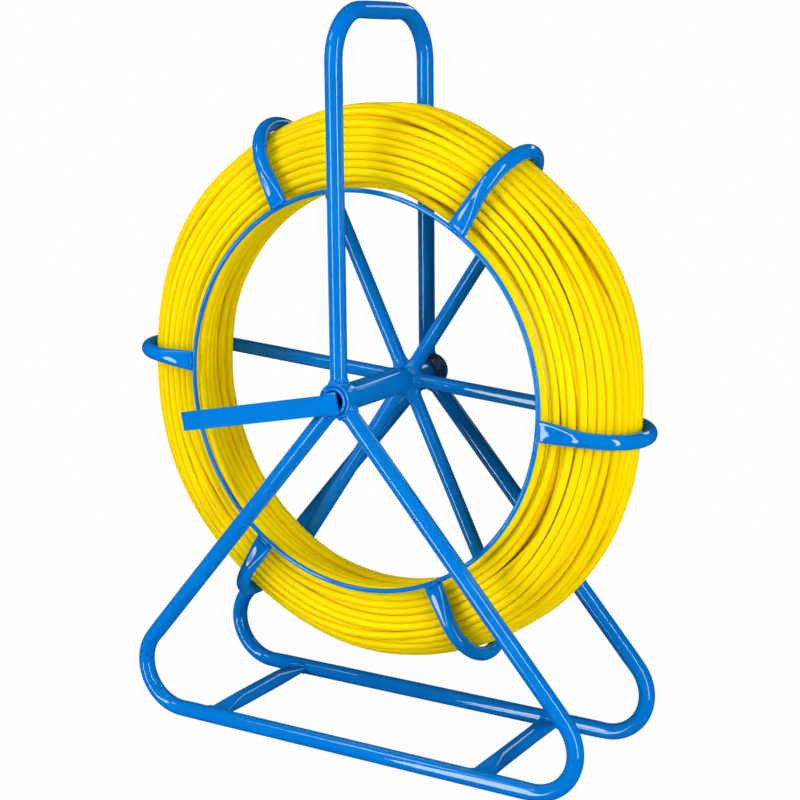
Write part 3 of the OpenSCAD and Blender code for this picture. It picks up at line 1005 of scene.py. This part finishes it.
def settle(path, sector, first_layer, pinned):
    """Lets the turns push each other apart inside the channel.

    path: (radius, y) per sample. sector: angle number per sample. The first pinned samples
    stay where they are.
    """
    rounds = 260
    length = len(path)
    table = -np.ones((SAMPLES, np.bincount(sector).max()), int)
    for k in range(SAMPLES):
        members = np.flatnonzero(sector == k)
        table[k, :len(members)] = members
    angle = TAU * np.arange(SAMPLES) / SAMPLES
    between_arms = 0.5 - 0.5 * np.cos(ARM_COUNT * (angle - math.radians(ARM_PHASE)))
    # the pack swells a little between the arms, more at the top right than at the lower left
    lean = 2.5 * np.cos(angle - math.radians(45))
    width = PACK_HALF + 0.2 + 2.6 * between_arms + np.where(lean > 0, lean * between_arms, lean)
    half_width = width[sector] - ROD_R
    bore_drop = 2.2 * np.maximum(0, np.cos(angle - math.radians(35)))[sector]
    fixed = path[:pinned].copy()

    def contain(path):
        x, y = path[:, 0] - BOW_X, path[:, 1] - BOW_Y
        in_bow = x > 0
        distance = np.hypot(x, y)
        pull = np.where(in_bow & (distance > half_width),
                        half_width / np.maximum(distance, 1e-6), 1.0)
        x = np.where(in_bow, x * pull, x)
        y = np.where(in_bow, y * pull, y)
        y = np.where(~in_bow, np.clip(y, -half_width, half_width), y)
        path[:, 1] = y + BOW_Y
        # the first few turns lie apart from each other, on the inside of the pack proper
        lift = np.where(first_layer, 0.0, 5.4 * np.clip((18 - path[:, 1]) / 6, 0, 1))
        path[:, 0] = np.maximum(x + BOW_X, inner_bound(path[:, 1]) - bore_drop + lift)
        path[:pinned] = fixed
        return path

    wide, narrow = hann(21), hann(5)
    for i in range(rounds):
        if i % 8 == 0:
            one, other = nearby_pairs(path, table)
        softness = min(1.0, 0.35 + i / 120)
        for _ in range(2):
            apart = path[one] - path[other]
            distance = np.hypot(apart[:, 0], apart[:, 1]) + 1e-9
            overlap = np.maximum(0, ROD_D - distance)
            push = apart / distance[:, None] * (overlap * 0.5)[:, None] * 0.85 * softness
            touching = (overlap > 0).astype(float)
            contacts = np.bincount(one, touching, length) + np.bincount(other, touching, length)
            share = 1 / np.maximum(1, contacts * 0.42)
            # the rod is stiff: a push at one place moves a long stretch
            for axis in range(2):
                total = (np.bincount(one, push[:, axis], length)
                         - np.bincount(other, push[:, axis], length))
                path[:, axis] += smooth(total * share, wide) * 1.8
            change = contain(path.copy()) - path
            path = path + np.stack([smooth(change[:, 0], narrow), smooth(change[:, 1], narrow)], 1)
        for _ in range(4):
            path[1:-1] += 0.35 * ((path[:-2] + path[2:]) / 2 - path[1:-1])
        if i < rounds * 0.7:
            # the first layer is drawn inwards, the rest wants to spring open
            path[:, 0] += np.where(first_layer, -0.10, 0.012)
    return path


def wind():
    """Sample numbers by angle and settled (radius, y) of the wound rod."""
    rng = np.random.default_rng(7)
    layers = plan_layers(rng)
    start = sample_at(71.6)
    radius, y, layer = string_turns(layers, start, rng)
    first_outer = np.flatnonzero(layer >= len(layers) - 5)[0]
    radius, y = loosen(radius, y, first_outer, rng)
    # the inner end runs from its ferrule across to the first turn
    pinned = int(SAMPLES * 0.26)
    blend = ease(np.linspace(0, 1, pinned))
    y[:pinned] = (TAIL_Y - BOW_Y) * (1 - blend) + y[pinned] * blend
    radius[:pinned] = ROD_START_R + (inner_bound(10.0) - ROD_START_R) * blend
    samples = np.arange(len(radius)) + start
    path = np.stack([radius, y + BOW_Y], 1)
    return samples, settle(path, samples % SAMPLES, layer == 0, pinned)


# ------------------------------------------------------------------ rod and ferrules
def lead_frame():
    """Ferrule start and direction at the outer end of the rod, behind the pack."""
    radial, tangent = polar_axes(LEAD_ANGLE)
    direction = math.cos(LEAD_TILT) * tangent + math.sin(LEAD_TILT) * Y_AXIS
    return axle_point(LEAD_Y) + LEAD_R * radial, direction


def tail_frame():
    """Ferrule start and direction at the inner end of the rod, inside the pack."""
    radial, tangent = polar_axes(TAIL_ANGLE)
    return axle_point(TAIL_Y) + TAIL_R * radial + FERRULE_LENGTH / 2 * tangent, -tangent


def hermite(p0, t0, p1, t1, count):
    t = np.linspace(0, 1, count)[:, None]
    return ((2 * t ** 3 - 3 * t ** 2 + 1) * p0 + (t ** 3 - 2 * t ** 2 + t) * t0
            + (-2 * t ** 3 + 3 * t ** 2) * p1 + (t ** 3 - t ** 2) * t1)


def unit(vector):
    return vector / np.linalg.norm(vector)


def rod_path():
    samples, path = wind()
    angle = TAU * samples / SAMPLES
    coil = np.stack([path[:, 0] * np.cos(angle), path[:, 1],
                     AXLE_Z + path[:, 0] * np.sin(angle)], -1)
    in_socket = SOCKET_DEPTH - 1.0
    # inner end: straight out of its ferrule, then tangent into the first turn
    origin, direction = tail_frame()
    coil_tangent = unit(coil[7] - coil[6])
    coil = coil[6:]
    straight_end = origin - 14.0 * direction
    reach = np.linalg.norm(coil[0] - straight_end)
    lead_in = hermite(straight_end, -direction * reach, coil[0], coil_tangent * reach, 16)
    head = [line(origin + in_socket * direction, straight_end, 4.0), lead_in[1:-1]]
    # outer end: off the last turn, over the back of the pack, into its ferrule
    origin, direction = lead_frame()
    coil_tangent = unit(coil[-1] - coil[-2])
    straight_start = origin - 10.0 * direction
    reach = np.linalg.norm(straight_start - coil[-1])
    lead_out = hermite(coil[-1], coil_tangent * reach * 0.9,
                       straight_start, direction * reach * 0.9, 22)
    tail = [lead_out[1:-1], line(straight_start, origin + in_socket * direction, 4.0)]
    return np.concatenate([*head, coil, *tail])


def rod():
    """The whole rod, cut into five meshes."""
    centres = rod_path()
    tangent = np.gradient(centres, axis=0)
    tangent /= np.linalg.norm(tangent, axis=1)[:, None]
    radial = centres - axle_point(0)
    radial[:, 1] = 0
    radial /= np.linalg.norm(radial, axis=1)[:, None]
    normal = radial - (radial * tangent).sum(1)[:, None] * tangent
    normal /= np.linalg.norm(normal, axis=1)[:, None]
    side = np.cross(tangent, normal)
    parts = 5
    cuts = np.linspace(0, len(centres) - 1, parts + 1).astype(int)
    for k in range(parts):
        span = slice(cuts[k], cuts[k + 1] + 1)
        sections = circle(18, ROD_R, len(centres[span]))
        skin = sweep(centres[span], normal[span], side[span], sections)
        ob = add_mesh(f"rod_turns_{k + 1}", *skin, sharp=60)
        place(ob, "reel", "rod_coil" if k == 0 else None, YELLOW)


def ferrule(name, origin, direction, node):
    """Turned sleeve: a band at each end, two grooves, a threaded mouth and a rod socket."""
    side = unit(np.cross(direction, Y_AXIS))
    up = np.cross(side, direction)
    length, body, band, groove = FERRULE_LENGTH, FERRULE_BODY_R, FERRULE_BAND_R, 0.35
    # radius, distance from the rod end
    profile = [
        (SOCKET_R, 0.0), (3.7, 0.0), (body, 0.3), (body, 1.0),
        (band - 0.1, 1.05), (band, 1.2), (band, 5.8), (band - 0.1, 5.95), (body, 6.0),
        (body, 9.0), (body - groove, 9.5), (body - groove, 10.4), (body, 10.9),
        (body, 13.4), (body - groove, 13.9), (body - groove, 14.8), (body, 15.3),
        (body, length - 9.1), (band - 0.1, length - 8.95), (band, length - 8.8),
        (band, length - 1.2), (band - 0.1, length - 1.05), (body, length - 1.0),
        (body, length - 0.4), (body - 0.4, length), (2.9, length), (2.5, length - 0.4),
    ]
    thread = np.arange(length - 0.8, length - THREAD_DEPTH + 0.5, -0.4)
    profile += [(THREAD_R if k % 2 else THREAD_ROOT_R, x) for k, x in enumerate(thread)]
    profile += [(THREAD_ROOT_R, length - THREAD_DEPTH), (0.05, length - THREAD_DEPTH),
                (0.05, SOCKET_DEPTH), (SOCKET_R, SOCKET_DEPTH)]
    profile = np.array(profile)
    columns = 56
    a = (TAU * np.arange(columns) / columns)[:, None, None]
    points = (origin + profile[:, 1:2] * direction
              + profile[:, 0:1] * (np.cos(a) * side + np.sin(a) * up))
    quads = grid_faces(columns, len(profile), closed=True)
    ob = add_mesh(name, points.reshape(-1, 3), quads, sharp=35)
    place(ob, "reel", node, BRASS)


rod()
ferrule("lead_ferrule_sleeve", *lead_frame(), "lead_end_ferrule")
ferrule("tail_ferrule_sleeve", *tail_frame(), "tail_end_ferrule")

# CAD pieces that still show get the blue coat
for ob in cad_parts.values():
    if not ob.hide_render:
        ob.data.materials.clear()
        ob.data.materials.append(BLUE)

# ------------------------------------------------------------------ set, in metres
scene = bpy.context.scene
WHITE = (1, 1, 1, 1)


def floor():
    """White floor that catches shadows near the stand and fades to pure white around it."""
    size, z = 40.0, -0.0004
    mesh = bpy.data.meshes.new("floor")
    corners = [(-size, -size, z), (size, -size, z), (size, size, z), (-size, size, z)]
    mesh.from_pydata(corners, [], [(0, 1, 2, 3)])
    ob = bpy.data.objects.new("floor", mesh)
    scene.collection.objects.link(ob)
    material, tree, shader, position = new_material("floor_white")
    set_inputs(tree, shader, {
        "Base Color": (0.84, 0.84, 0.84, 1),
        "Roughness": 0.9,
        "Specular IOR Level": 0.1,
    })
    distance = add_node(tree, "ShaderNodeVectorMath", {0: position}, operation="LENGTH")
    fade = map_range(tree, distance.outputs["Value"], low=0.97, high=1.0,
                     from_min=0.30, from_max=0.75)
    glow = add_node(tree, "ShaderNodeEmission", {"Color": WHITE, "Strength": 1.0})
    camera_ray = add_node(tree, "ShaderNodeLightPath").outputs["Is Camera Ray"]
    mix = add_node(tree, "ShaderNodeMixShader", {
        "Fac": calculate(tree, "MULTIPLY", fade, camera_ray),
        1: shader.outputs[0],
        2: glow.outputs[0],
    })
    set_inputs(tree, tree.nodes["Material Output"], {"Surface": mix.outputs[0]})
    mesh.materials.append(material)
    ob.visible_glossy = False


def studio_world():
    """White to the camera, dim for diffuse light, nearly dark in reflections."""
    world = bpy.data.worlds.new("studio")
    scene.world = world
    world.use_nodes = True
    tree = world.node_tree
    tree.nodes.clear()

    def background(colour, strength):
        inputs = {"Color": colour, "Strength": strength}
        return add_node(tree, "ShaderNodeBackground", inputs).outputs[0]

    def choose(ray, otherwise, chosen):
        inputs = {"Fac": rays[ray], 1: otherwise, 2: chosen}
        return add_node(tree, "ShaderNodeMixShader", inputs).outputs[0]

    output = tree.nodes.new("ShaderNodeOutputWorld")
    rays = tree.nodes.new("ShaderNodeLightPath").outputs
    seen = background(WHITE, strength=1.0)
    ambient = background(WHITE, strength=0.10)
    reflected = background((0.93, 0.96, 1, 1), strength=0.03)
    lighting = choose("Is Glossy Ray", ambient, reflected)
    set_inputs(tree, output, {"Surface": choose("Is Camera Ray", lighting, seen)})


def softbox(name, azimuth, elevation, width, height, radiance, fill):
    """Softbox aimed at the axle's middle. Azimuth 0 is the crank side, 90 the right side.

    Fill boxes only light surfaces, the others only show as reflections.
    """
    centre = Vector((0, 0, AXLE_Z * MM))
    a, e = math.radians(azimuth), math.radians(elevation)
    direction = Vector((math.sin(a) * math.cos(e), -math.cos(a) * math.cos(e), math.sin(e)))
    location = centre + direction * 2.1
    light = bpy.data.lights.new(name, "AREA")
    light.shape = "RECTANGLE"
    light.size, light.size_y = width, height
    light.energy = radiance * math.pi * width * height
    ob = bpy.data.objects.new(name, light)
    scene.collection.objects.link(ob)
    ob.location = location
    ob.rotation_mode = "QUATERNION"
    ob.rotation_quaternion = (centre - location).to_track_quat("-Z", "Y")
    ob.visible_glossy = not fill
    ob.visible_diffuse = fill
    ob.visible_transmission = fill


# name, azimuth, elevation, width, height, radiance, fill
SOFTBOXES = [
    ("left_box", -44, 18, 1.0, 1.4, 6.5, True),
    ("right_box", 61, 9, 0.75, 1.4, 8.9, True),
    ("top_box", 10, 62, 1.5, 0.8, 2.8, True),
    ("left_strip", -22, 4, 0.36, 2.3, 15.0, False),
    ("high_strip", -46, 44, 0.50, 0.45, 9.0, False),
    ("right_strip", 66, 6, 0.30, 2.6, 18.0, False),
    ("back_strip", 166, 30, 0.90, 0.30, 4.0, False),
]


def camera():
    """Camera in front, to the right and above the axle, looking slightly down."""
    location = Vector((0.704994, -1.136857, 0.561201))
    right = Vector((0.855616, 0.517523, -0.009542))
    up = Vector((-0.095921, 0.176647, 0.979589))
    forward = Vector((-0.508646, 0.837237, -0.200784))
    data = bpy.data.cameras.new("camera")
    data.sensor_width = 36.0
    data.sensor_fit = "HORIZONTAL"
    data.lens = 74.313
    data.clip_start, data.clip_end = 0.05, 50
    ob = bpy.data.objects.new("camera", data)
    scene.collection.objects.link(ob)
    turn = Matrix((right, up, -forward)).transposed().to_4x4()
    ob.matrix_world = Matrix.Translation(location) @ turn
    scene.camera = ob


floor()
studio_world()
for box in SOFTBOXES:
    softbox(*box)
camera()
scene.view_settings.view_transform = "Standard"
scene.view_settings.look = "None"
